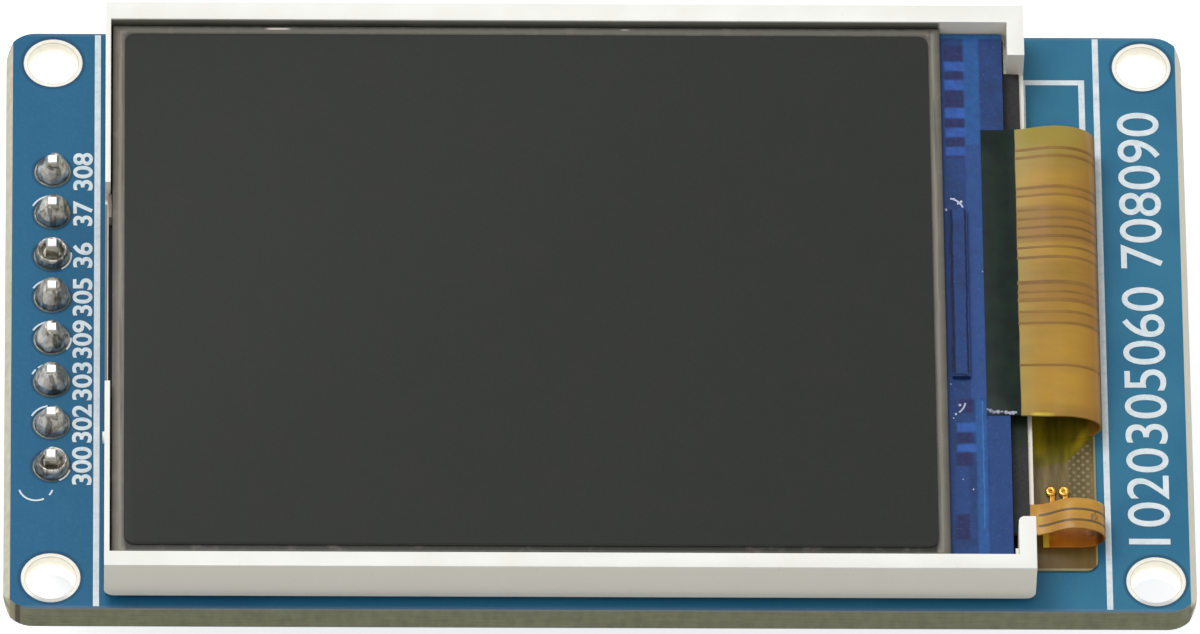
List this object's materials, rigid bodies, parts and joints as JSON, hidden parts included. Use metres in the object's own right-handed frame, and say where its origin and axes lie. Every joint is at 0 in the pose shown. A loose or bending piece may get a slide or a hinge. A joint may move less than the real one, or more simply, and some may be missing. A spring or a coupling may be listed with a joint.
{
  "type": "tft display module",
  "caption": "Small colour display screen in a white frame, taped to a blue carrier board with corner mounting holes and a downward pin header.",
  "frame": {"origin": "centre of the four mounting holes, on the underside of the board", "axes": "+X along the board from the pin header to the ribbon end, +Y to the rear long edge, +Z out of the screen"},
  "size_m": [0.0587, 0.0346, 0.0118],
  "materials": {
    "board_core": "bare glass fibre laminate, cut edges olive grey",
    "solder_mask": "glossy blue solder mask",
    "print_ink": "white printed ink",
    "tin_plating": "tinned copper",
    "header_plastic": "moulded black plastic",
    "pin_metal": "tinned brass",
    "solder": "bright solder",
    "mounting_tape": "double sided foam tape",
    "frame_plastic": "white moulded plastic",
    "reflector": "white reflector film",
    "guide_acrylic": "clear acrylic",
    "optical_film": "translucent film",
    "rim_black": "black tape",
    "rear_polarizer_film": "dark film",
    "ledge_glass": "thin display glass",
    "cover_glass": "thin display glass over grey film",
    "front_polarizer_film": "satin dark grey film",
    "silicon": "polished silicon under blue coat",
    "blue_coat": "blue translucent coat",
    "ribbon_film": "amber polyimide film",
    "lamp_body": "white lamp body",
    "gold_solder": "solder on gold plated leads",
    "chip_black": "black moulded package",
    "capacitor_ceramic": "tan ceramic with tinned ends",
    "resistor_body": "black glaze with tinned ends"
  },
  "bodies": {
    "root": {"circuit_board": "board_core", "solder_mask_top": "solder_mask", "solder_mask_bottom": "solder_mask", "printed_lines": "print_ink", "header_plating": "tin_plating", "header_strip": "header_plastic", "header_pin_1": "pin_metal", "header_pin_2": "pin_metal", "header_pin_3": "pin_metal", "header_pin_4": "pin_metal", "header_pin_5": "pin_metal", "header_pin_6": "pin_metal", "header_pin_7": "pin_metal", "header_pin_8": "pin_metal", "solder_joint_1": "solder", "solder_joint_2": "solder", "solder_joint_3": "solder", "solder_joint_4": "solder", "solder_joint_5": "solder", "solder_joint_6": "solder", "solder_joint_7": "solder", "solder_joint_8": "solder", "rear_mounting_tape": "mounting_tape", "front_mounting_tape": "mounting_tape", "backlight_frame": "frame_plastic", "reflector_film": "reflector", "light_guide": "guide_acrylic", "diffuser_film": "optical_film", "lower_prism_film": "optical_film", "upper_prism_film": "optical_film", "rim_tape": "rim_black", "rear_polarizer": "rear_polarizer_film", "array_glass": "ledge_glass", "filter_glass": "cover_glass", "front_polarizer": "front_polarizer_film", "driver_chip": "silicon", "ledge_coat": "blue_coat", "display_ribbon": "ribbon_film", "ribbon_solder": "solder", "backlight_ribbon": "ribbon_film", "front_backlight_lamp": "lamp_body", "rear_backlight_lamp": "lamp_body", "lamp_lead_solder": "gold_solder", "voltage_regulator": "chip_black", "backlight_transistor": "chip_black", "input_capacitor": "capacitor_ceramic", "output_capacitor": "capacitor_ceramic", "lamp_resistor": "resistor_body", "base_resistor": "resistor_body", "reset_resistor": "resistor_body"}
  },
  "joints": []
}
